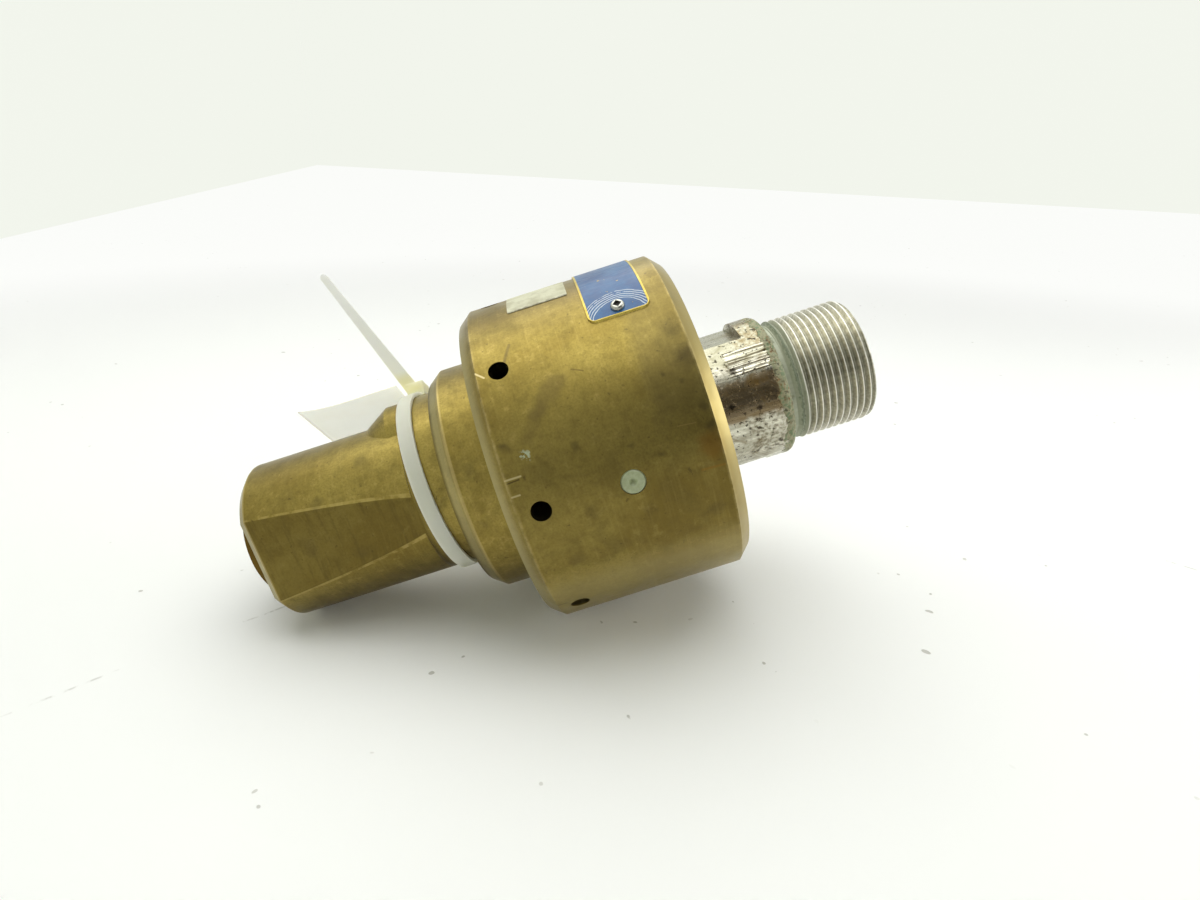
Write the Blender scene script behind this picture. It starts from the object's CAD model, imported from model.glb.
"""Hydraulic rotary union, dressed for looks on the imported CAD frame.

Metres, in the row frame: +X runs along the rotation axis from the inlet to the rotor's thread and
+Z is up. Angles round the axis are measured from +Z towards +Y. The union lies on a table that is
tilted to the axis, as it rests on the housing's rim and the edge of the inlet.
"""

import math

import bmesh
import bpy
from mathutils import Matrix, Vector, noise


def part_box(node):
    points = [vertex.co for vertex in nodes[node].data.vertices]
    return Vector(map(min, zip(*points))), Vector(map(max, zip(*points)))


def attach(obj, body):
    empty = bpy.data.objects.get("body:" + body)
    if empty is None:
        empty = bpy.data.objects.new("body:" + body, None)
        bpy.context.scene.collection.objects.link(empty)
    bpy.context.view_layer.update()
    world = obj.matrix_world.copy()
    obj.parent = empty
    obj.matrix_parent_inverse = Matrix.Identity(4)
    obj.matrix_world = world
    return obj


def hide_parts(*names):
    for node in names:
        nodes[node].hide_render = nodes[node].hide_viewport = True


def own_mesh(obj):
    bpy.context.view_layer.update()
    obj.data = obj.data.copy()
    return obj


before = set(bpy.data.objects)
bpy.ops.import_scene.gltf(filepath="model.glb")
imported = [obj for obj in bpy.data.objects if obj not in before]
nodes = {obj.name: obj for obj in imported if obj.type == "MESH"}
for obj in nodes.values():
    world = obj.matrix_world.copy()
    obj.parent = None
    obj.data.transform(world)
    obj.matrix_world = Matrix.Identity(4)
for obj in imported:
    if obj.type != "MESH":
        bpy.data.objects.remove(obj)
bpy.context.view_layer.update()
MM = 0.001


# ---------------------------------------------------------------- places read from the frame
def on_surface(x_mm, degrees, radius):
    """Point at a station along the axis, an angle round it and a distance from it."""
    angle = math.radians(degrees)
    return Vector((x_mm * MM, radius * math.sin(angle), radius * math.cos(angle)))


def angle_round(point):
    """A point's angle round the axis, in radians."""
    return math.atan2(point.y, point.z)


def angles_of(node):
    """Lowest and highest angle round the axis that a node of the housing's top reaches."""
    angles = [angle_round(vertex.co) for vertex in nodes[node].data.vertices]
    return min(angles), max(angles)


HOUSING_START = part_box("housing")[0].x
HOUSING_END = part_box("housing")[1].x
HOUSING_RADIUS = (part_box("housing")[1].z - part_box("housing")[0].z) / 2
ROTOR_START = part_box("rotor")[0].x
ROTOR_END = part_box("rotor")[1].x
SHANK_RADIUS = 24.15 * MM
INLET_RADIUS = 27.0 * MM
# the front wrench flat of the end cap: its angle, its slope against the axis, how far it cuts in
# at its low end and that end's station, from which follows its level at the axis' origin
WRENCH_TURN = -80.0
WRENCH_SLOPE = math.radians(3.5)
WRENCH_CUT = 3.9 * MM
WRENCH_START = 5.8 * MM
WRENCH_LEVEL = INLET_RADIUS - WRENCH_CUT - WRENCH_START * math.tan(WRENCH_SLOPE)
# widths of the housing's chamfers along the axis, and the stations of its weep holes in mm
LEFT_CHAMFER = 3.9 * MM
RIGHT_CHAMFER = 3.6 * MM
WEEP_STATIONS = (96.3, 104.5)


# ---------------------------------------------------------------- node graph helpers
def srgb(red, green, blue):
    """Linear colour from an 8-bit display colour."""
    linear = []
    for value in (red, green, blue):
        value /= 255
        linear.append(value / 12.92 if value <= 0.04045 else ((value + 0.055) / 1.055) ** 2.4)
    return (*linear, 1.0)


class Graph:
    """A material's node tree, built one call at a time."""

    def __init__(self, name):
        self.material = bpy.data.materials.new(name)
        self.material.use_nodes = True
        self.tree = self.material.node_tree
        self.tree.nodes.clear()
        self.output = self.tree.nodes.new("ShaderNodeOutputMaterial")
        self.position = self.add("ShaderNodeTexCoord").outputs["Object"]

    def add(self, kind, settings=(), **inputs):
        """A new node; settings are its properties, and the rest are its input sockets."""
        node = self.tree.nodes.new(kind)
        for key, value in dict(settings).items():
            setattr(node, key, value)
        for key, value in inputs.items():
            self.put(node.inputs[key.replace("_", " ")], value)
        return node

    def put(self, socket, value):
        """Links a socket to an output, or sets it to a plain value."""
        if isinstance(value, bpy.types.NodeSocket):
            self.tree.links.new(value, socket)
        else:
            socket.default_value = value

    def math(self, operation, a, b=0.5, c=0.5, clamp=False):
        """Result of a sum on single values."""
        node = self.add("ShaderNodeMath", {"operation": operation, "use_clamp": clamp})
        for socket, value in zip(node.inputs, (a, b, c)):
            self.put(socket, value)
        return node.outputs[0]

    def vector(self, operation, a, b=(0, 0, 0)):
        """Result of a sum on vectors, which for a length or a distance is a single value."""
        node = self.add("ShaderNodeVectorMath", {"operation": operation})
        self.put(node.inputs[0], a)
        if operation not in ("LENGTH", "NORMALIZE"):
            self.put(node.inputs[1], b)
        name = "Value" if operation in ("LENGTH", "DISTANCE", "DOT_PRODUCT") else "Vector"
        return node.outputs[name]

    def noise(self, scale, detail=4.0, roughness=0.55, vector=None, distortion=0.0):
        """Noise from 0 to 1, with scale in features per metre."""
        node = self.add(
            "ShaderNodeTexNoise",
            Vector=self.position if vector is None else vector,
            Scale=scale,
            Detail=detail,
            Roughness=roughness,
            Distortion=distortion,
        )
        return node.outputs["Fac"]

    def grain(self, detail, scales, roughness=0.6):
        """Noise with its own scale along each of the three directions."""
        stretched = self.vector("MULTIPLY", self.position, scales)
        return self.noise(1.0, detail, roughness, vector=stretched)

    def step(self, value, low, high, to_low=0.0, to_high=1.0):
        """Smooth step of a value from low to high."""
        node = self.add("ShaderNodeMapRange", {"interpolation_type": "SMOOTHSTEP"})
        for socket, number in zip(node.inputs, (value, low, high, to_low, to_high)):
            self.put(socket, number)
        return node.outputs[0]

    def blend(self, colour, mask, share, tint):
        """A colour with a share of another one laid over it where a mask is 1."""
        return self.mix(self.math("MULTIPLY", mask, share), colour, tint)

    def mix(self, factor, a, b):
        """Colour a where the factor is 0 and colour b where it is 1."""
        node = self.add("ShaderNodeMix", {"data_type": "RGBA"})
        self.put(node.inputs["Factor"], factor)
        self.put(node.inputs[6], a)
        self.put(node.inputs[7], b)
        return node.outputs[2]

    def bump(self, height, distance, strength=1.0):
        """Surface normal from a height, whose full range stands for a distance in metres."""
        node = self.add("ShaderNodeBump", Height=height, Distance=distance, Strength=strength)
        return node.outputs["Normal"]

    def axial(self):
        """(x, distance from the axis, unit direction across the axis)."""
        split = self.add("ShaderNodeSeparateXYZ", Vector=self.position)
        across = self.vector("MULTIPLY", self.position, (0, 1, 1))
        distance = self.vector("LENGTH", across)
        return split.outputs["X"], distance, self.vector("NORMALIZE", across)

    def polar(self, vector=None):
        """(x, angle round the axis in degrees) of a place, the mesh's own by default."""
        split = self.add(
            "ShaderNodeSeparateXYZ", Vector=self.position if vector is None else vector
        )
        angle = self.math("ARCTAN2", split.outputs["Y"], split.outputs["Z"])
        return split.outputs["X"], self.math("MULTIPLY", angle, 180 / math.pi)

    def window(self, value, low, high, soft):
        """1 from low to high, falling to 0 over a margin outside."""
        rise = self.step(value, low - soft, low)
        return self.math("MULTIPLY", rise, self.step(value, high, high + soft, 1.0, 0.0))

    def area(self, stations, angles, soft, vector=None):
        """1 inside a range of stations in mm and of angles in degrees, with soft borders."""
        x, angle = self.polar(vector)
        along = self.window(x, stations[0] * MM, stations[1] * MM, soft * MM)
        return self.math("MULTIPLY", along, self.window(angle, *angles, soft * 2.4))

    def turned(self, along, around):
        """Coordinates that run fast along and out from the axis and slowly round it."""
        x, distance, direction = self.axial()
        fast = self.math("MULTIPLY", self.math("ADD", x, distance), along)
        lane = self.add("ShaderNodeCombineXYZ", X=fast)
        turn = self.vector("MULTIPLY", direction, (around,) * 3)
        return self.vector("ADD", lane.outputs[0], turn)

    def near(self, point, reach, soft=0.5, vector=None):
        """1 at a point, falling to 0 at a distance of reach."""
        gap = self.vector("DISTANCE", self.position if vector is None else vector, tuple(point))
        return self.step(gap, reach * (1 - soft), reach, 1.0, 0.0)

    def near_line(self, start, end, width, vector=None):
        """1 on the line between two points, falling to 0 at a distance of width."""
        start, end = Vector(start), Vector(end)
        run = end - start
        place = self.position if vector is None else vector
        offset = self.vector("SUBTRACT", place, tuple(start))
        share = self.vector("DOT_PRODUCT", offset, tuple(run / run.length_squared))
        share = self.math("MULTIPLY", share, 1.0, clamp=True)
        foot = self.add("ShaderNodeVectorMath", {"operation": "SCALE"})
        self.put(foot.inputs[0], tuple(run))
        self.put(foot.inputs["Scale"], share)
        gap = self.vector("DISTANCE", offset, foot.outputs["Vector"])
        return self.step(gap, width * 0.3, width, 1.0, 0.0)

    def wobble(self, scale, amount):
        """The position, pushed about by noise, for marks with uneven edges."""
        node = self.add("ShaderNodeTexNoise", Vector=self.position, Scale=scale, Detail=3.0)
        centred = self.vector("SUBTRACT", node.outputs["Color"], (0.5, 0.5, 0.5))
        return self.vector("ADD", self.position, self.vector("MULTIPLY", centred, (amount,) * 3))

    def surface(self, **inputs):
        """Ends the tree in a Principled shader and returns the material."""
        shader = self.add("ShaderNodeBsdfPrincipled", **inputs)
        self.tree.links.new(shader.outputs[0], self.output.inputs["Surface"])
        return self.material


def dress(obj, material):
    """Gives an object one material in place of those it has."""
    obj.data.materials.clear()
    obj.data.materials.append(material)


# ---------------------------------------------------------------- bronze
def bronze(name, grooves=9000.0, marks=None):
    """Turned bronze under a dull olive tarnish, with faint lathe lines and small dark specks."""
    g = Graph(name)
    cloud = g.noise(24.0, 5.0, 0.62, distortion=0.8)
    blotch = g.noise(85.0, 6.0, 0.66, distortion=0.5)
    mottle = g.noise(330.0, 4.0, 0.62)
    grain = g.noise(1500.0, 3.0, 0.6)
    lane = g.noise(1.0, 4.0, 0.7, vector=g.turned(grooves * 0.1, 1.6))
    fine = g.noise(1.0, 2.0, 0.6, vector=g.turned(grooves, 3.0))
    colour = g.mix(g.step(cloud, 0.34, 0.66), srgb(122, 104, 48), srgb(150, 133, 68))
    colour = g.mix(g.step(blotch, 0.5, 0.72, 0.0, 0.5), colour, srgb(108, 95, 50))
    colour = g.mix(g.step(mottle, 0.48, 0.7, 0.0, 0.36), colour, srgb(102, 87, 42))
    colour = g.mix(g.step(mottle, 0.28, 0.44, 0.34, 0.0), colour, srgb(178, 158, 90))
    colour = g.mix(g.step(lane, 0.46, 0.76, 0.0, 0.2), colour, srgb(178, 158, 90))
    colour = g.mix(g.step(grain, 0.4, 0.68, 0.0, 0.28), colour, srgb(94, 80, 38))
    speck = g.noise(620.0, 2.0, 0.5)
    colour = g.mix(g.step(speck, 0.69, 0.75, 0.0, 0.5), colour, srgb(70, 60, 38))
    if marks is not None:
        colour = marks(g, colour)
    height = g.math("ADD", g.math("MULTIPLY", fine, 0.35), g.math("MULTIPLY", grain, 0.5))
    height = g.math("ADD", height, g.math("MULTIPLY", mottle, 0.6))
    return g.surface(
        Base_Color=colour,
        Metallic=0.94,
        Roughness=g.step(blotch, 0.3, 0.75, 0.31, 0.46),
        Normal=g.bump(height, 0.06 * MM, 0.5),
    )


# station in mm, angle in degrees, reach in mm and share of each dark stain on the housing
STAINS = [
    (149.5, -51.3, 5.0, 0.62), (147.8, -41.0, 5.0, 0.42), (150.7, -73.2, 2.6, 0.75),
    (113.9, -67.3, 2.4, 0.5), (127.5, -71.9, 1.7, 0.4), (136.1, -76.3, 1.6, 0.35),
    (142.4, -55.0, 1.5, 0.45), (146.8, -58.7, 1.5, 0.5), (149.5, -66.9, 2.2, 0.5),
    (94.6, -61.6, 2.2, 0.55), (139.0, -62.0, 1.4, 0.3), (128.0, -93.0, 3.5, 0.3),
    (112.0, -88.0, 3.0, 0.3), (104.0, -102.0, 3.4, 0.3), (146.0, -100.0, 3.4, 0.3),
]
# ends as (station, angle), width in mm and share of each broad smear on the housing
SMEARS = [
    ((113.6, -46.6), (106.4, -54.6), 3.6, 0.42),
    ((106.8, -54.0), (101.8, -60.6), 2.8, 0.26),
]
# ends as (station, angle), width in mm, colour and share of each scratch on the housing
SCRATCHES = [
    ((92.1, -70.7), (96.7, -70.7), 0.38, (214, 198, 146), 0.9),
    ((92.6, -75.9), (94.9, -75.9), 0.38, (208, 192, 140), 0.9),
    ((92.6, -71.7), (96.0, -71.5), 0.34, (58, 48, 30), 0.75),
    ((92.4, -124.0), (95.1, -124.0), 0.45, (58, 46, 28), 0.9),
    ((92.2, -36.0), (94.5, -38.5), 0.4, (204, 188, 140), 0.8),
    ((141.3, -70.7), (146.4, -71.3), 0.22, (170, 146, 86), 0.7),
    ((144.6, -85.4), (151.0, -85.8), 0.5, (150, 106, 40), 0.5),
    ((100.6, -36.5), (103.6, -29.0), 0.7, (92, 80, 50), 0.6),
    ((118.6, -44.8), (121.6, -46.4), 0.3, (98, 82, 46), 0.7),
]


def housing_marks(g, colour):
    """Stains, a small dent, scratches, dark weep holes and worn rims at their places."""
    loose = g.wobble(240.0, 5.0 * MM)
    torn = g.wobble(900.0, 3.5 * MM)
    right_end = g.area((139, 156), (-62, -28), 5.0, loose)
    colour = g.blend(colour, right_end, 0.34, srgb(92, 84, 58))
    for start, end, width, share in SMEARS:
        ends = [on_surface(*place, HOUSING_RADIUS) for place in (start, end)]
        smear = g.near_line(*ends, width * MM, loose)
        colour = g.blend(colour, smear, share, srgb(96, 82, 50))
    for x_mm, degrees, reach, share in STAINS:
        place = on_surface(x_mm, degrees, HOUSING_RADIUS)
        colour = g.blend(colour, g.near(place, reach * MM, 0.9, loose), share, srgb(60, 52, 36))
    rust = g.near(on_surface(149.3, -79.0, HOUSING_RADIUS), 5.4 * MM, 0.7, loose)
    colour = g.blend(colour, rust, 0.5, srgb(140, 98, 34))
    dent = g.near(on_surface(99.7, -65.3, HOUSING_RADIUS), 1.9 * MM, 0.5, torn)
    dent = g.math("MULTIPLY", dent, g.step(g.noise(1100.0, 2.0), 0.46, 0.54))
    colour = g.blend(colour, dent, 0.9, srgb(196, 208, 178))
    for start, end, width, tint, share in SCRATCHES:
        ends = [on_surface(*place, HOUSING_RADIUS) for place in (start, end)]
        colour = g.blend(colour, g.near_line(*ends, width * MM), share, srgb(*tint))
    x, distance, _ = g.axial()
    deep = g.step(distance, HOUSING_RADIUS - 0.6 * MM, HOUSING_RADIUS - 0.15 * MM, 1.0, 0.0)
    first, last = WEEP_STATIONS
    bores = g.math("MULTIPLY", deep, g.window(x, first * MM, last * MM, 0.4 * MM))
    colour = g.blend(colour, bores, 0.97, srgb(12, 9, 6))
    _, angle = g.polar(loose)
    colour = g.blend(colour, g.window(angle, -96.0, -64.0, 18.0), 0.34, srgb(78, 66, 34))
    colour = g.blend(colour, g.window(angle, -160.0, -118.0, 14.0), 0.42, srgb(182, 166, 108))
    return worn_rims(g, colour)


def worn_rims(g, colour):
    """Pale chamfers at both ends of the housing, golden on the right, with bright worn corners."""
    x, distance, _ = g.axial()
    chamfer = g.step(distance, HOUSING_RADIUS - 2.8 * MM, HOUSING_RADIUS - 0.2 * MM, 1.0, 0.0)
    colour = g.blend(colour, chamfer, 0.6, srgb(168, 158, 114))
    corner = HOUSING_END - RIGHT_CHAMFER
    golden = g.step(x, corner - 0.15 * MM, corner + 0.1 * MM)
    colour = g.blend(colour, golden, 0.5, srgb(184, 164, 104))
    rub = g.noise(300.0, 4.0, 0.65)
    for rim in (HOUSING_START + LEFT_CHAMFER, corner):
        gap = g.math("ABSOLUTE", g.math("SUBTRACT", x, rim))
        worn = g.math("MULTIPLY", g.step(gap, 0.0, 0.8 * MM, 1.0, 0.0), g.step(rub, 0.3, 0.7))
        colour = g.blend(colour, worn, 0.42, srgb(186, 168, 114))
    return colour


# station and reach in mm, share and colour of each band round the end cap
CAP_BANDS = [
    (72.0, 1.3, 0.5, (74, 64, 40)),
    (60.2, 1.2, 0.35, (78, 68, 42)),
    (76.0, 0.8, 0.4, (190, 172, 118)),
    (74.0, 2.0, 0.45, (166, 158, 116)),
    (5.8, 0.6, 0.4, (196, 180, 126)),
    (4.4, 1.5, 0.5, (168, 160, 120)),
]
# station in mm, angle in degrees, radius and reach in mm and share of each stain on the end cap
CAP_STAINS = [
    (45.0, -30.0, 27.0, 4.0, 0.3), (30.0, -52.0, 27.0, 3.0, 0.3),
    (22.0, -80.0, 24.0, 4.5, 0.3), (38.0, -96.0, 24.5, 4.5, 0.28),
    (81.0, -64.0, 40.0, 3.0, 0.4), (80.0, -88.0, 40.0, 3.0, 0.4),
]


def cap_marks(g, colour):
    """Darker milled wrench flats with worn edges, a grimy inlet boss, bands and stains."""
    x, _, _ = g.axial()
    for side in (-1, 1):
        # depth of a place under the plane of the wrench flat, which rises along the axis
        out = on_surface(0.0, WRENCH_TURN, float(side))
        level = g.vector("DOT_PRODUCT", g.position, (-math.tan(WRENCH_SLOPE), out.y, out.z))
        under = g.math("SUBTRACT", WRENCH_LEVEL, level)
        body = g.window(x, 3.6 * MM, 60.0 * MM, 0.2 * MM)
        flat = g.math("MULTIPLY", g.step(under, 0.02 * MM, 0.12 * MM, 1.0, 0.0), body)
        milled = g.grain(3.0, (520.0, 60.0, 60.0))
        colour = g.blend(colour, flat, 0.62, srgb(88, 74, 33))
        marks = g.math("MULTIPLY", flat, g.step(milled, 0.5, 0.7))
        colour = g.blend(colour, marks, 0.3, srgb(76, 66, 34))
        edge = g.math("MULTIPLY", g.window(under, 0.12 * MM, 0.4 * MM, 0.1 * MM), body)
        worn = g.step(g.noise(260.0, 3.0), 0.36, 0.6)
        colour = g.blend(colour, g.math("MULTIPLY", edge, worn), 0.45, srgb(186, 166, 100))
    boss = g.step(x, 3.2 * MM, 3.6 * MM, 1.0, 0.0)
    colour = g.blend(colour, boss, 0.85, srgb(88, 64, 20))
    for station, reach, share, tint in CAP_BANDS:
        gap = g.math("ABSOLUTE", g.math("SUBTRACT", x, station * MM))
        band = g.step(gap, reach * 0.3 * MM, reach * MM, 1.0, 0.0)
        colour = g.blend(colour, band, share, srgb(*tint))
    loose = g.wobble(240.0, 5.0 * MM)
    for x_mm, degrees, radius, reach, share in CAP_STAINS:
        place = on_surface(x_mm, degrees, radius * MM)
        colour = g.blend(colour, g.near(place, reach * MM, 0.9, loose), share, srgb(64, 56, 38))
    return colour


# ---------------------------------------------------------------- steel
# where the rotor's finishes start and end along the axis
SHANK_FINISH_END = 181.0 * MM
RIM_STATIONS = (178.6 * MM, 182.4 * MM)
GROOVE_STATIONS = (182.4 * MM, 187.6 * MM)
GROOVE_LINE = (185.5 * MM, 186.0 * MM)
THREAD_FINISH = (186.6 * MM, 187.2 * MM)
# distances from the axis between which the thread's roots darken and its crests brighten
ROOT_RADII = (19.7 * MM, 20.7 * MM)
CREST_RADII = (20.72 * MM, 20.9 * MM)
# station in mm, angle in degrees and reach in mm of each black spot on the shank
SHANK_SPOTS = [(166.4, -50.6, 1.7), (162.6, -75.8, 1.3), (171.0, -81.4, 1.3)]


def shank_marks(g, colour, shank, stain, crust, pit):
    """Brown stains, a dull top and crusts on the shank."""
    loose = g.wobble(300.0, 4.0 * MM)
    torn = g.wobble(900.0, 2.2 * MM)
    rusty = g.math("MULTIPLY", g.step(stain, 0.5, 0.72), shank)
    colour = g.blend(colour, rusty, 0.8, srgb(104, 86, 42))
    dull = g.area((156, 181), (-40, 40), 4.0, loose)
    colour = g.blend(colour, dull, 0.6, srgb(138, 136, 108))
    film = g.area((160, 179), (-86, -60), 2.2, loose)
    colour = g.blend(colour, film, 0.8, srgb(112, 86, 38))
    crusted = g.area((171, 182), (-32, 16), 2.0, torn)
    crusted = g.math("MULTIPLY", crusted, g.step(crust, 0.36, 0.6))
    colour = g.blend(colour, crusted, 0.75, srgb(124, 108, 72))
    grit = g.area((168, 181), (-122, -90), 3.0, loose)
    grit = g.math("MULTIPLY", grit, g.step(pit, 0.42, 0.6))
    return g.blend(colour, grit, 0.6, srgb(96, 84, 54))


def chatter_marks(g, colour, chatter, scored):
    """Dark lines and bright lands where a tool has scored the shank along the axis."""
    lines = g.math("MULTIPLY", chatter, g.step(scored, 0.5, 0.6))
    colour = g.blend(colour, lines, 0.8, srgb(70, 58, 36))
    lands = g.math("MULTIPLY", chatter, g.step(scored, 0.4, 0.5, 1.0, 0.0))
    return g.blend(colour, lands, 0.7, srgb(232, 228, 208))


def collar_marks(g, colour, rim, stain, crust, pit):
    """Verdigris, rust and dark dirt on the collar's rim."""
    colour = g.blend(colour, rim, 0.85, srgb(162, 160, 126))
    verdigris = g.math("MULTIPLY", rim, g.step(crust, 0.5, 0.6))
    colour = g.blend(colour, verdigris, 0.75, srgb(112, 138, 100))
    rust = g.math("MULTIPLY", g.step(pit, 0.52, 0.62), g.step(stain, 0.44, 0.56))
    colour = g.blend(colour, g.math("MULTIPLY", rim, rust), 0.8, srgb(140, 104, 60))
    dirt = g.math("MULTIPLY", rim, g.step(crust, 0.36, 0.42, 1.0, 0.0))
    return g.blend(colour, dirt, 0.75, srgb(58, 60, 40))


def stainless(name):
    """The rotor's stainless steel: bright, stained brown, pitted, with verdigris at the collar."""
    g = Graph(name)
    x, distance, _ = g.axial()
    torn = g.wobble(900.0, 2.2 * MM)
    stain = g.noise(110.0, 5.0, 0.68, distortion=1.0)
    streak = g.grain(4.0, (110.0, 700.0, 700.0), 0.65)
    crust = g.noise(650.0, 4.0, 0.62)
    pit = g.noise(760.0, 3.0, 0.6)
    scored = g.grain(2.0, (40.0, 1500.0, 1500.0))
    colour = g.mix(g.step(streak, 0.34, 0.68), srgb(176, 172, 154), srgb(220, 217, 200))
    shank = g.window(x, HOUSING_END, SHANK_FINISH_END, 2 * MM)
    chatter = g.area((166, 180), (-53, -34), 1.4, torn)
    colour = shank_marks(g, colour, shank, stain, crust, pit)
    colour = chatter_marks(g, colour, chatter, scored)
    for x_mm, degrees, reach in SHANK_SPOTS:
        spot = g.near(on_surface(x_mm, degrees, SHANK_RADIUS), reach * MM, 0.6, torn)
        colour = g.blend(colour, spot, 0.85, srgb(44, 36, 26))
    pits = g.math("MULTIPLY", g.step(pit, 0.6, 0.67), shank)
    colour = g.blend(colour, pits, 0.85, srgb(48, 40, 28))
    x_torn, _ = g.polar(g.wobble(300.0, 6.2 * MM))
    rim = g.window(x_torn, *RIM_STATIONS, 0.5 * MM)
    colour = collar_marks(g, colour, rim, stain, crust, pit)
    # pale corrosion in the relief groove, with one dark line round it
    groove = g.window(x, *GROOVE_STATIONS, 0.9 * MM)
    colour = g.blend(colour, groove, 0.8, srgb(174, 180, 156))
    x_fine, _ = g.polar(torn)
    line = g.window(x_fine, *GROOVE_LINE, 0.5 * MM)
    colour = g.blend(colour, line, 0.55, srgb(86, 104, 82))
    # dull dirt in the thread's roots and bright crests
    threaded = g.step(x, *THREAD_FINISH)
    root = g.math("MULTIPLY", g.step(distance, *ROOT_RADII, 1.0, 0.0), threaded)
    colour = g.blend(colour, root, 0.5, srgb(140, 138, 124))
    crest = g.math("MULTIPLY", g.step(distance, *CREST_RADII), threaded)
    colour = g.blend(colour, crest, 0.85, srgb(244, 242, 234))
    rough = g.math("ADD", g.step(stain, 0.4, 0.75, 0.24, 0.42), g.math("MULTIPLY", rim, 0.35))
    rough = g.math("ADD", rough, g.math("MULTIPLY", groove, 0.2))
    rough = g.math("ADD", rough, g.math("MULTIPLY", threaded, 0.08))
    lines = g.math("MULTIPLY", g.math("MULTIPLY", streak, 0.3), shank)
    height = g.math("SUBTRACT", lines, g.math("MULTIPLY", pits, 0.8))
    height = g.math("ADD", height, g.math("MULTIPLY", g.math("MULTIPLY", chatter, scored), 1.6))
    height = g.math("ADD", height, g.math("MULTIPLY", g.math("MULTIPLY", rim, crust), 2.2))
    return g.surface(
        Base_Color=colour,
        Metallic=g.step(g.math("MAXIMUM", rim, groove), 0.0, 1.0, 0.95, 0.2),
        Roughness=rough,
        Normal=g.bump(height, 0.3 * MM, 0.8),
    )


def grime(name):
    """Black oily dirt at the bottom of the screws' square recesses."""
    g = Graph(name)
    dirt = g.noise(2400.0, 3.0, 0.6)
    return g.surface(
        Base_Color=g.mix(g.step(dirt, 0.4, 0.7), srgb(20, 18, 14), srgb(54, 46, 32)),
        Roughness=0.6,
        Normal=g.bump(dirt, 0.1 * MM, 0.6),
    )


def plain_metal(name, colour, roughness, lines=6000.0):
    """Machined metal of the inner pieces and small fasteners."""
    g = Graph(name)
    fine = g.noise(1.0, 3.0, 0.6, vector=g.turned(lines, 2.0))
    cloud = g.noise(140.0, 4.0, 0.6)
    darker = tuple(channel * 0.72 for channel in colour[:3]) + (1.0,)
    tint = g.mix(g.step(cloud, 0.35, 0.7), colour, darker)
    return g.surface(
        Base_Color=tint,
        Metallic=1.0,
        Roughness=g.step(fine, 0.3, 0.7, roughness, roughness + 0.12),
        Normal=g.bump(fine, 0.03 * MM, 0.5),
    )


# ---------------------------------------------------------------- rubber, plastics, card
def rubber(name):
    """Black seal rubber with a little dust."""
    g = Graph(name)
    dust = g.noise(900.0, 4.0, 0.6)
    tint = g.mix(g.step(dust, 0.45, 0.75), srgb(30, 30, 30), srgb(58, 56, 52))
    return g.surface(
        Base_Color=tint, Roughness=0.62, Specular_IOR_Level=0.35, Normal=g.bump(dust, 0.04 * MM, 0.5)
    )


def clear_plastic(name):
    """Milky grey-green plastic of the lubrication port's plug, dirty round its rim."""
    g = Graph(name)
    low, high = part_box("lube_plug")
    middle = (low + high) / 2
    centre = on_surface(middle.x / MM, math.degrees(angle_round(middle)), HOUSING_RADIUS)
    from_centre = g.vector("DISTANCE", g.position, tuple(centre))
    haze = g.noise(500.0, 4.0, 0.6)
    tint = g.mix(g.step(haze, 0.35, 0.7), srgb(160, 168, 130), srgb(182, 190, 154))
    tint = g.mix(g.step(from_centre, 3.0 * MM, 3.9 * MM, 0.0, 0.55), tint, srgb(196, 202, 170))
    tint = g.mix(g.step(from_centre, 0.0, 0.9 * MM, 0.8, 0.0), tint, srgb(232, 236, 212))
    return g.surface(
        Base_Color=tint,
        Roughness=0.32,
        Subsurface_Weight=0.35,
        Subsurface_Radius=(0.002, 0.002, 0.0016),
        Subsurface_Scale=1.0,
        IOR=1.46,
        Normal=g.bump(haze, 0.05 * MM, 0.5),
    )


def nylon(name):
    """Natural nylon of the cable tie: yellowish strap, creamier head and pale tail."""
    g = Graph(name)
    cloud = g.noise(60.0, 3.0, 0.5)
    lines = g.grain(2.0, (2600.0, 60.0, 60.0))
    _, distance, _ = g.axial()
    tint = g.mix(g.step(cloud, 0.3, 0.7), srgb(246, 247, 206), srgb(251, 251, 214))
    tint = g.mix(g.step(distance, 34 * MM, 37 * MM), tint, srgb(244, 236, 192))
    tint = g.mix(g.step(distance, 41 * MM, 45 * MM), tint, srgb(253, 253, 238))
    return g.surface(
        Base_Color=tint,
        Roughness=0.45,
        Subsurface_Weight=0.8,
        Subsurface_Radius=(0.006, 0.006, 0.005),
        Subsurface_Scale=1.0,
        Normal=g.bump(lines, 0.03 * MM, 0.4),
    )


def card(name):
    """Cream card with short fibres, so thin that light from behind shows through."""
    g = Graph(name)
    fibre = g.grain(5.0, (900.0, 2400.0, 2400.0), 0.7)
    soil = g.noise(70.0, 3.0, 0.5)
    low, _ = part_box("hang_tag")
    x, _ = g.polar()
    tint = g.mix(g.step(soil, 0.4, 0.75), srgb(255, 249, 188), srgb(253, 244, 178))
    tint = g.mix(g.step(fibre, 0.55, 0.8, 0.0, 0.3), tint, srgb(244, 234, 192))
    tint = g.mix(g.step(x, low.x, low.x + 1.6 * MM, 0.7, 0.0), tint, srgb(212, 186, 120))
    return g.surface(
        Base_Color=tint,
        Roughness=0.85,
        Subsurface_Weight=1.0,
        Subsurface_Radius=(0.012, 0.012, 0.011),
        Subsurface_Scale=1.0,
        Normal=g.bump(fibre, 0.03 * MM, 0.5),
    )


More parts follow.
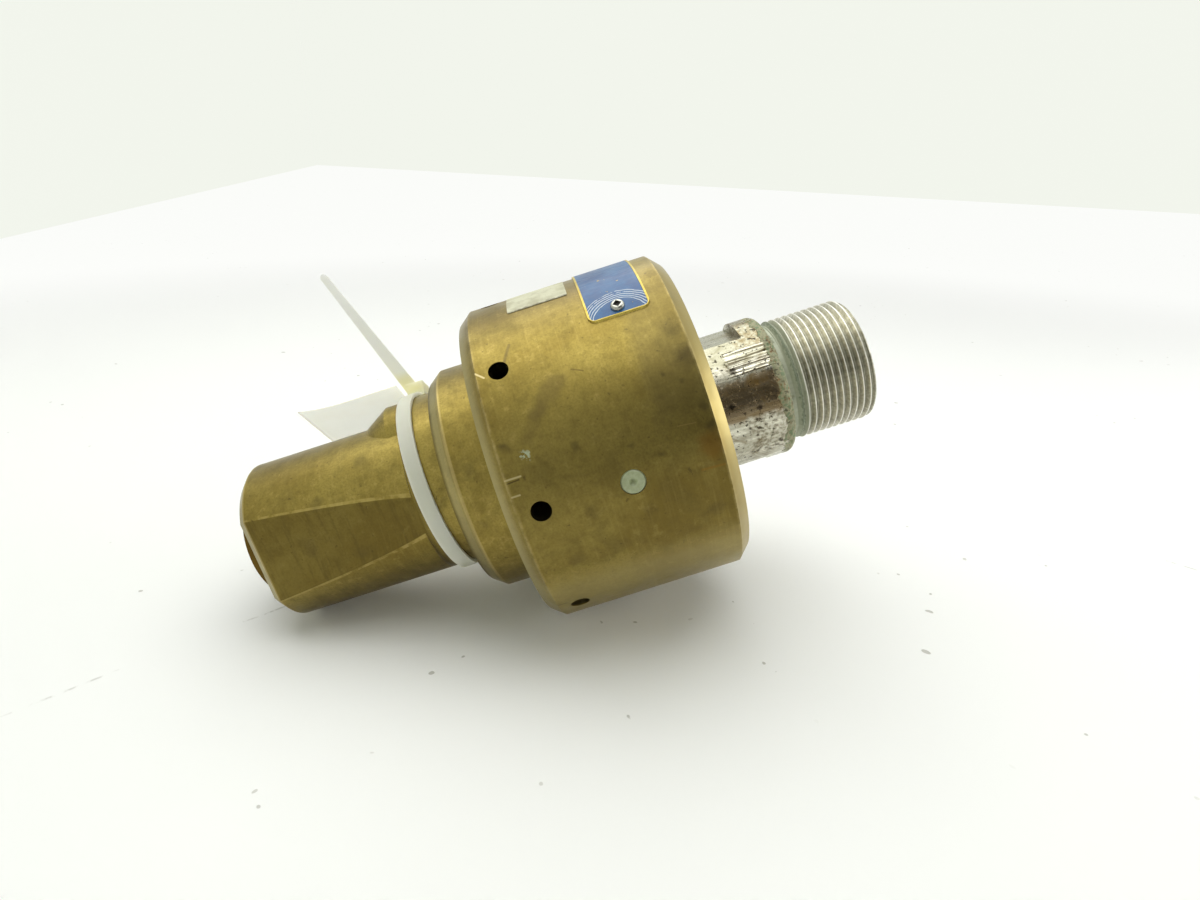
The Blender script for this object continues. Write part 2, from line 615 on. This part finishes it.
def paper(name):
    """Off-white label paper, rubbed, slightly grey and torn at its lower edge."""
    g = Graph(name)
    fibre = g.noise(1900.0, 5.0, 0.7)
    rub = g.noise(160.0, 4.0, 0.6)
    lowest, _ = angles_of("paper_label")
    _, angle = g.polar(g.wobble(700.0, 3.0 * MM))
    tint = g.mix(g.step(rub, 0.42, 0.7), srgb(216, 215, 188), srgb(190, 187, 157))
    tint = g.mix(g.step(fibre, 0.5, 0.75, 0.0, 0.35), tint, srgb(162, 156, 128))
    edge = math.degrees(lowest)
    tint = g.mix(g.step(angle, edge, edge + 1.2, 0.7, 0.0), tint, srgb(96, 86, 56))
    return g.surface(Base_Color=tint, Roughness=0.7, Normal=g.bump(fibre, 0.02 * MM, 0.4))


def plate_enamel(name):
    """Cobalt enamel field inside a bare brass border, with curved rub marks round the screw."""
    g = Graph(name)
    low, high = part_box("nameplate")
    first, last = angles_of("nameplate")
    x, angle = g.polar()
    border, corner = 0.62 * MM, 1.4 * MM
    across = g.math("ABSOLUTE", g.math("SUBTRACT", x, (low.x + high.x) / 2))
    along = g.math("ABSOLUTE", g.math("SUBTRACT", angle, math.degrees((first + last) / 2)))
    along = g.math("MULTIPLY", along, HOUSING_RADIUS * math.pi / 180)
    half_width = (high.x - low.x) / 2 - border
    half_length = HOUSING_RADIUS * (last - first) / 2 - border
    out_x = g.math("MAXIMUM", g.math("SUBTRACT", across, half_width - corner), 0.0)
    out_y = g.math("MAXIMUM", g.math("SUBTRACT", along, half_length - corner), 0.0)
    squares = g.math("ADD", g.math("POWER", out_x, 2.0), g.math("POWER", out_y, 2.0))
    field = g.step(g.math("SQRT", squares), corner - 0.12 * MM, corner + 0.12 * MM, 1.0, 0.0)
    rub = g.grain(5.0, (240.0, 900.0, 900.0), 0.7)
    cloud = g.noise(120.0, 4.0, 0.6)
    blue = g.mix(g.step(cloud, 0.3, 0.7), srgb(10, 68, 122), srgb(26, 92, 144))
    blue = g.mix(g.step(rub, 0.58, 0.74, 0.0, 0.25), blue, srgb(110, 150, 184))
    place = on_surface((low.x + high.x) / 2 / MM, math.degrees(first) - 1.5, HOUSING_RADIUS)
    reach = g.vector("DISTANCE", g.wobble(160.0, 1.6 * MM), tuple(place))
    ripple = g.math("SINE", g.math("MULTIPLY", reach, 7800.0))
    arcs = g.window(reach, 8.2 * MM, 11.5 * MM, 0.8 * MM)
    arcs = g.math("MULTIPLY", arcs, g.step(ripple, -0.1, 0.8))
    arcs = g.math("MULTIPLY", arcs, g.step(g.noise(520.0, 3.0), 0.28, 0.44))
    blue = g.blend(blue, arcs, 0.75, srgb(206, 216, 222))
    chip = g.step(g.noise(420.0, 3.0, 0.6), 0.7, 0.73)
    brass = g.mix(g.step(cloud, 0.35, 0.7), srgb(176, 152, 62), srgb(200, 182, 92))
    field = g.math("MULTIPLY", field, g.math("SUBTRACT", 1.0, chip))
    relief = g.math("SUBTRACT", g.math("MULTIPLY", rub, 0.2), field)
    return g.surface(
        Base_Color=g.mix(field, brass, blue),
        Metallic=g.step(field, 0.0, 1.0, 0.85, 0.1),
        Roughness=g.step(rub, 0.3, 0.75, 0.3, 0.5),
        Coat_Weight=0.12,
        Coat_Roughness=0.2,
        Normal=g.bump(relief, 0.18 * MM, 0.7),
    )


# ---------------------------------------------------------------- mesh helpers
def mesh_object(name, build, material, body, smooth=30.0):
    """An object whose mesh is made by build(bmesh), riding on a CAD body."""
    mesh = bpy.data.meshes.new(name)
    bm = bmesh.new()
    build(bm)
    bmesh.ops.recalc_face_normals(bm, faces=bm.faces)
    bm.to_mesh(mesh)
    bm.free()
    obj = bpy.data.objects.new(name, mesh)
    bpy.context.scene.collection.objects.link(obj)
    mesh.materials.append(material)
    soften(obj, smooth)
    if body:
        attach(obj, body)
    return obj


def soften(obj, degrees):
    """Smooth shading, with edges sharper than an angle kept sharp."""
    obj.data.polygons.foreach_set("use_smooth", [True] * len(obj.data.polygons))
    obj.data.set_sharp_from_angle(angle=math.radians(degrees))


def skin_rings(bm, rings, closed_along):
    """Quads between successive rings of vertices; the last ring joins the first if closed."""
    count = len(rings[0])
    pairs = list(zip(rings, rings[1:]))
    if closed_along:
        pairs.append((rings[-1], rings[0]))
    for first, second in pairs:
        for k in range(count):
            n = (k + 1) % count
            bm.faces.new((first[k], first[n], second[n], second[k]))


# ---------------------------------------------------------------- rotor with its cut thread
AROUND = 256            # vertices in each ring
PITCH = 2.309 * MM
BORE = 13.0 * MM
JOURNAL_RADIUS = 22.5 * MM
JOURNAL_START = 101 * MM
JOURNAL_END = 147 * MM
SEAT_RADIUS = 19 * MM   # of the nose that carries the seal seat
RING_GROOVE = (102 * MM, 104 * MM)
RING_GROOVE_RADIUS = 21.3 * MM
FLAT = 20.7 * MM        # distance of the two spanner flats from the axis
FLAT_ANGLE = math.radians(8.0)
FLAT_START = HOUSING_END + 1.7 * MM
FLAT_END = HOUSING_END + 18.0 * MM
COLLAR_END = HOUSING_END + 26.9 * MM
COLLAR_BEND = 2.6 * MM
GROOVE_RADIUS = 19.4 * MM
THREAD_START = COLLAR_END + 2.0 * MM
CREST = 20.955 * MM
THREAD_DEPTH = 1.35 * MM
THREAD_LEAD_IN = 1.55 * MM
THREAD_RUN_OUT = 1.1 * MM
CRUST_DEPTH = 0.85      # mm, how far rust eats into the collar
SCORE_DEPTH = 0.35      # mm, of the scored lines on the shank
SCORED_TURN = (-53, -34)


def thread_radius(x, turn):
    """Rounded V profile on a right-hand helix, running out at both ends."""
    wave = abs(2 * ((x / PITCH - turn) % 1.0) - 1)
    depth = THREAD_DEPTH * min(1.0, max(0.0, wave * 1.2 - 0.1))
    start_edge = CREST - THREAD_LEAD_IN + (x - THREAD_START)
    end_edge = CREST - THREAD_RUN_OUT + (ROTOR_END - x)
    return min(CREST - depth, start_edge, end_edge)


def corroded(x, radius, angle):
    """The shank's radius near the collar, eaten into by rust, and scored along the axis."""
    place = Vector((x, radius * math.sin(angle), radius * math.cos(angle))) / MM
    rim = min(1.0, max(0.0, (x - COLLAR_END + 5.5 * MM) / (3.0 * MM)))
    crust = max(0.0, noise.noise(place * 0.75) + 0.35 * noise.noise(place * 2.1))
    low, high = SCORED_TURN
    within = low < math.degrees(angle) - 360 < high
    scored = 1.0 if within and x > FLAT_START + 9 * MM else 0.0
    lines = max(0.0, noise.noise(Vector((place.x * 0.12, place.y * 1.1, place.z * 1.1))))
    return radius - (CRUST_DEPTH * rim * crust + SCORE_DEPTH * scored * lines) * MM


def rotor_stations():
    """(station, radius, kind) along the rotor's outside up to the thread, then at its far end."""
    stations = [
        (ROTOR_START, BORE, ""), (ROTOR_START, SEAT_RADIUS, ""),
        (JOURNAL_START, SEAT_RADIUS, ""), (JOURNAL_START, JOURNAL_RADIUS, ""),
        (RING_GROOVE[0], JOURNAL_RADIUS, ""), (RING_GROOVE[0], RING_GROOVE_RADIUS, ""),
        (RING_GROOVE[1], RING_GROOVE_RADIUS, ""), (RING_GROOVE[1], JOURNAL_RADIUS, ""),
        (JOURNAL_END, JOURNAL_RADIUS, ""), (JOURNAL_END, SHANK_RADIUS, ""),
        (FLAT_START, SHANK_RADIUS, ""),
    ]
    cuts = 22
    for k in range(cuts + 1):
        x = FLAT_START + 0.01 * MM + (FLAT_END - FLAT_START) * k / cuts
        stations.append((x, SHANK_RADIUS, "flat"))
    bend_start = COLLAR_END - COLLAR_BEND
    cuts = 16
    for k in range(cuts):
        x = FLAT_END + 0.02 * MM + (bend_start - FLAT_END) * k / cuts
        stations.append((x, SHANK_RADIUS, "rough"))
    for k in range(9):
        bend = math.radians(90 * k / 8)
        radius = SHANK_RADIUS - COLLAR_BEND * (1 - math.cos(bend))
        stations.append((bend_start + COLLAR_BEND * math.sin(bend), radius, "rough"))
    stations += [(COLLAR_END, GROOVE_RADIUS, ""), (THREAD_START - 0.6 * MM, GROOVE_RADIUS, "")]
    mouth = 1.1 * MM
    return stations + [(ROTOR_END, BORE + mouth, ""), (ROTOR_END - mouth, BORE, "")]


def thread_rings(bm):
    """Rings that climb one pitch per turn along the helix, cut off square at the thread's ends."""
    per_turn = 18
    count = math.ceil((ROTOR_END - THREAD_START) / PITCH + 1) * per_turn
    rings = []
    for row in range(count + 1):
        ring = []
        for k in range(AROUND):
            turn = k / AROUND
            x = THREAD_START + (row / per_turn + turn - 1) * PITCH
            x = min(max(x, THREAD_START), ROTOR_END)
            r, angle = thread_radius(x, turn), 2 * math.pi * turn
            ring.append(bm.verts.new((x, r * math.sin(angle), r * math.cos(angle))))
        rings.append(ring)
    for row in range(count):
        ring, above = rings[row], rings[row + 1]
        for k in range(AROUND - 1):
            bm.faces.new((ring[k], ring[k + 1], above[k + 1], above[k]))
        # the seam joins the ring one pitch on
        joined = rings[min(row + per_turn, count)][0]
        following = rings[min(row + per_turn + 1, count)][0]
        if joined is not following:
            bm.faces.new((ring[-1], joined, following, above[-1]))
        else:
            bm.faces.new((ring[-1], joined, above[-1]))
    return rings


def build_rotor(bm):
    """The whole rotor: bore, journal, shank with two spanner flats, collar, groove and thread."""
    rings = []
    for x, radius, kind in rotor_stations():
        ring = []
        for k in range(AROUND):
            angle = 2 * math.pi * k / AROUND
            r = radius
            if kind in ("flat", "rough"):
                r = corroded(x, radius, angle)
            if kind == "flat":
                r = min(r, FLAT / max(0.01, abs(math.cos(angle - FLAT_ANGLE))))
            ring.append(bm.verts.new((x, r * math.sin(angle), r * math.cos(angle))))
        rings.append(ring)
    thread = thread_rings(bm)
    skin_rings(bm, rings[:-2] + [thread[0]], closed_along=False)
    skin_rings(bm, [thread[-1]] + rings[-2:] + [rings[0]], closed_along=False)
    bmesh.ops.remove_doubles(bm, verts=bm.verts, dist=1e-7)


# ---------------------------------------------------------------- drive screws
def screw_groups():
    """The vertices of the two CAD screws, one list for each."""
    points = [vertex.co.copy() for vertex in nodes["drive_screws"].data.vertices]
    middle = sum(angle_round(point) for point in points) / len(points)
    return [
        [point for point in points if (angle_round(point) > middle) == upper]
        for upper in (False, True)
    ]


def build_drive_screws(bm):
    """Two round-headed drive screws, each with a square recess whose floor takes material 1."""
    count = 32
    head_height, recess_half = 1.1 * MM, 1.0 * MM
    for points in screw_groups():
        out = sum((Vector((0, point.y, point.z)) for point in points), Vector()).normalized()
        station = sum(point.x for point in points) / len(points)
        heights = [point.dot(out) for point in points]
        bottom, top = min(heights), max(heights)
        head = top - head_height
        side = out.cross(Vector((1, 0, 0)))
        # radius in mm, height and whether the ring is square, from the shank into the recess
        profile = [
            (0.9, bottom, 0), (0.9, head, 0), (2.1, head, 0), (2.1, head + 0.35 * MM, 0),
            (1.95, head + 0.7 * MM, 0), (1.75, head + 0.97 * MM, 0), (1.52, top, 0),
            (1.2, top - 0.02 * MM, 1), (1.2, top - 0.75 * MM, 1),
        ]
        rings = []
        for radius, height, square in profile:
            ring = []
            for k in range(count):
                angle = 2 * math.pi * k / count
                reach = radius * MM
                if square:
                    quarter = angle + math.pi / 4
                    reach = recess_half / max(abs(math.cos(quarter)), abs(math.sin(quarter)))
                offset = Vector((1, 0, 0)) * math.cos(angle) + side * math.sin(angle)
                place = out * height + Vector((station, 0, 0)) + offset * reach
                ring.append(bm.verts.new(place))
            rings.append(ring)
        skin_rings(bm, rings, closed_along=False)
        bm.faces.new(rings[0])
        floor = bm.faces.new(rings[-1])
        floor.material_index = 1


# ---------------------------------------------------------------- scene: table, room, light, camera
TABLE_TILT = math.asin(0.2985)
TABLE_POINT = Vector((76.957 * MM, 0, -49.216 * MM))
TABLE = Matrix.Translation(TABLE_POINT) @ Matrix.Rotation(TABLE_TILT, 4, "Y")
ROOM_CORNER = (-2.1, 8.2)
ROOM_RIGHT = (2.23, 1.95)
ROOM_LEFT = (-0.89, 1.15)
ROOM_HEIGHT = 12.0
# the side of the room that the front of the union mirrors, and that is dimmer than the rest
ROOM_FRONT = (0.05, -0.95, 0.3)
ROOM_STRENGTH = 0.62
DIM_STRENGTH = 0.12
BACKDROP_STRENGTH = 0.96
CAMERA_PLACE = Vector((121.5, -224.5, 94.8)) * MM
CAMERA_BACK = Vector((0.0108, -0.9146, 0.4042))
CAMERA_UP = Vector((0.3040, 0.3881, 0.8700))
CAMERA_LENS = 21.0
# ends of the fine scratches in the table top, in metres in the table's own frame
TABLE_SCRATCHES = [
    ((0.262, -0.005), (0.318, -0.078)), ((0.292, -0.088), (0.306, -0.103)),
    ((-0.152, -0.052), (-0.128, -0.034)), ((-0.098, -0.012), (-0.062, 0.014)),
]


def table_marks(g, colour):
    """Fine scratches and sparse specks of dirt on the table top."""
    for start, end in TABLE_SCRATCHES:
        mask = g.near_line((*start, 0), (*end, 0), 0.7 * MM, g.wobble(30.0, 3.0 * MM))
        mask = g.math("MULTIPLY", mask, g.step(g.noise(260.0, 3.0), 0.42, 0.6))
        colour = g.blend(colour, mask, 0.4, srgb(168, 168, 156))
    dust = g.step(g.noise(150.0, 1.0), 0.75, 0.77)
    speck = g.math("MULTIPLY", dust, g.step(g.noise(9.0), 0.5, 0.6))
    return g.blend(colour, speck, 0.5, srgb(128, 122, 100))


def studio_white(name, colour, near_share, far_share, marks=None):
    """Pale matte surface: near the object it takes light and shadow, further off it reads white."""
    g = Graph(name)
    distance = g.vector("LENGTH", g.position)
    shade = g.step(distance, 0.2, 1.0, near_share, far_share)
    if marks is not None:
        colour = marks(g, colour)
    diffuse = g.add("ShaderNodeBsdfDiffuse", Color=colour)
    glow = g.add("ShaderNodeEmission", Color=colour, Strength=1.0)
    path = g.add("ShaderNodeLightPath")
    seen = g.math("MAXIMUM", path.outputs["Is Camera Ray"], path.outputs["Is Glossy Ray"])
    seen = g.math("MAXIMUM", seen, path.outputs["Is Transmission Ray"])
    both = g.add("ShaderNodeMixShader", Fac=g.math("MULTIPLY", seen, shade))
    g.tree.links.new(diffuse.outputs[0], both.inputs[1])
    g.tree.links.new(glow.outputs[0], both.inputs[2])
    g.tree.links.new(both.outputs[0], g.output.inputs["Surface"])
    return g.material


def stage_quad(name, corners, material):
    """A flat four-sided stage surface, given in the table's own frame."""
    mesh = bpy.data.meshes.new(name)
    mesh.from_pydata([tuple(corner) for corner in corners], [], [(0, 1, 2, 3)])
    mesh.materials.append(material)
    obj = bpy.data.objects.new(name, mesh)
    obj.matrix_world = TABLE
    bpy.context.scene.collection.objects.link(obj)


def build_room():
    """Table top and the two walls of the photo box behind it."""
    floor = studio_white("table_white", srgb(254, 255, 252), 0.05, 0.97, table_marks)
    wall = studio_white("wall_white", srgb(245, 248, 239), 0.9, 0.97)
    reach, near, far = 4.5, -1.5, ROOM_CORNER[1]
    stage_quad(
        "table_top", [(-reach, near, 0), (reach, near, 0), (reach, far, 0), (-reach, far, 0)], floor
    )
    height = Vector((0, 0, ROOM_HEIGHT))
    corner = Vector((*ROOM_CORNER, 0))
    for name, end in (("back_wall", ROOM_RIGHT), ("left_wall", ROOM_LEFT)):
        end = corner + (Vector((*end, 0)) - corner) * 1.6
        stage_quad(name, [corner, end, end + height, corner + height], wall)


def area_light(name, place, target, size, power):
    """A rectangular lamp at a place, facing a target, both in the table's own frame."""
    lamp = bpy.data.lights.new(name, "AREA")
    lamp.shape = "RECTANGLE"
    lamp.size, lamp.size_y = size
    lamp.energy = power
    obj = bpy.data.objects.new(name, lamp)
    place, target = TABLE @ Vector(place), TABLE @ Vector(target)
    turn = (target - place).to_track_quat("-Z", "Y").to_matrix().to_4x4()
    obj.matrix_world = Matrix.Translation(place) @ turn
    bpy.context.scene.collection.objects.link(obj)


def build_light():
    """Two soft boxes, and a pale room that is dimmer in front but reads white to the camera."""
    world = bpy.data.worlds.new("studio")
    bpy.context.scene.world = world
    world.use_nodes = True
    tree = world.node_tree
    direction = tree.nodes.new("ShaderNodeTexCoord").outputs["Generated"]
    facing = tree.nodes.new("ShaderNodeVectorMath")
    facing.operation = "DOT_PRODUCT"
    tree.links.new(direction, facing.inputs[0])
    facing.inputs[1].default_value = ROOM_FRONT
    share = tree.nodes.new("ShaderNodeMapRange")
    share.interpolation_type = "SMOOTHSTEP"
    tree.links.new(facing.outputs["Value"], share.inputs["Value"])
    limits = {"From Min": 0.2, "From Max": 0.8, "To Min": ROOM_STRENGTH, "To Max": DIM_STRENGTH}
    for key, value in limits.items():
        share.inputs[key].default_value = value
    background = tree.nodes["Background"]
    background.inputs["Color"].default_value = srgb(250, 251, 247)
    path = tree.nodes.new("ShaderNodeLightPath")
    seen = tree.nodes.new("ShaderNodeMix")
    tree.links.new(path.outputs["Is Camera Ray"], seen.inputs[0])
    tree.links.new(share.outputs[0], seen.inputs[2])
    seen.inputs[3].default_value = BACKDROP_STRENGTH
    tree.links.new(seen.outputs[0], background.inputs["Strength"])
    middle = (0.03, 0.0, 0.05)
    area_light("overhead", (0.04, 0.16, 0.75), middle, (1.2, 0.9), 6.9)
    area_light("side", (0.75, -0.05, 0.25), middle, (0.5, 0.35), 1.4)


def build_camera():
    """The camera stands in front and above, rolled so that the table is level."""
    camera = bpy.data.objects.new("camera", bpy.data.cameras.new("camera"))
    camera.data.sensor_width = 36.0
    camera.data.lens = CAMERA_LENS
    camera.data.clip_start = 0.01
    back = CAMERA_BACK.normalized()
    right = CAMERA_UP.cross(back).normalized()
    up = back.cross(right)
    turn = Matrix((right, up, back)).transposed().to_4x4()
    camera.matrix_world = Matrix.Translation(CAMERA_PLACE) @ turn
    bpy.context.scene.collection.objects.link(camera)
    bpy.context.scene.camera = camera
    bpy.context.scene.view_settings.view_transform = "Standard"


# ---------------------------------------------------------------- assembly
bronze_housing = bronze("bronze_housing", marks=housing_marks)
bronze_cap = bronze("bronze_end_cap", marks=cap_marks)
rotor_steel = stainless("rotor_steel")
bearing_steel = plain_metal("bearing_steel", srgb(196, 196, 198), 0.2)
seal_metal = plain_metal("seal_iron", srgb(92, 92, 96), 0.35)
spring_metal = plain_metal("spring_steel", srgb(120, 120, 124), 0.3)
screw_metal = plain_metal("screw_steel", srgb(186, 186, 176), 0.3)
recess_dirt = grime("recess_dirt")
cage_metal = plain_metal("cage_brass", srgb(204, 172, 96), 0.35)
black_rubber = rubber("seal_rubber")

CAD_FINISH = {
    bronze_housing: ["housing"],
    bronze_cap: ["end_cap"],
    bearing_steel: [
        "front_inner_ring", "front_outer_ring", "front_balls", "rear_inner_ring",
        "rear_outer_ring", "rear_balls", "inner_spacer", "outer_spacer", "seal_pins",
    ],
    seal_metal: ["seal_seat", "floating_seal_ring"],
    spring_metal: ["seal_spring", "retaining_ring"],
    cage_metal: ["front_cage", "rear_cage"],
    black_rubber: ["lip_seal", "seal_o_ring", "cap_o_ring"],
    clear_plastic("plug_plastic"): ["lube_plug"],
    plate_enamel("plate_enamel"): ["nameplate"],
    paper("label_paper"): ["paper_label"],
    nylon("tie_nylon"): ["cable_tie"],
    card("tag_card"): ["hang_tag"],
}
for finish, names in CAD_FINISH.items():
    for node in names:
        dress(nodes[node], finish)

turned_rotor = mesh_object("rotor_threaded", build_rotor, rotor_steel, "turning_rotor")
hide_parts("rotor")

screw_heads = mesh_object("drive_screw_heads", build_drive_screws, screw_metal, "stationary_body")
screw_heads.data.materials.append(recess_dirt)
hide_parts("drive_screws")

# the spring's own mesh once more, so that it shortens as the seal moves towards it
coil = bpy.data.objects.new("seal_spring_coil", nodes["seal_spring"].data.copy())
coil.matrix_world = nodes["seal_spring"].matrix_world
bpy.context.scene.collection.objects.link(coil)
dress(coil, spring_metal)
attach(coil, "stationary_body")
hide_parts("seal_spring")
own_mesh(coil)

build_room()
build_light()
build_camera()
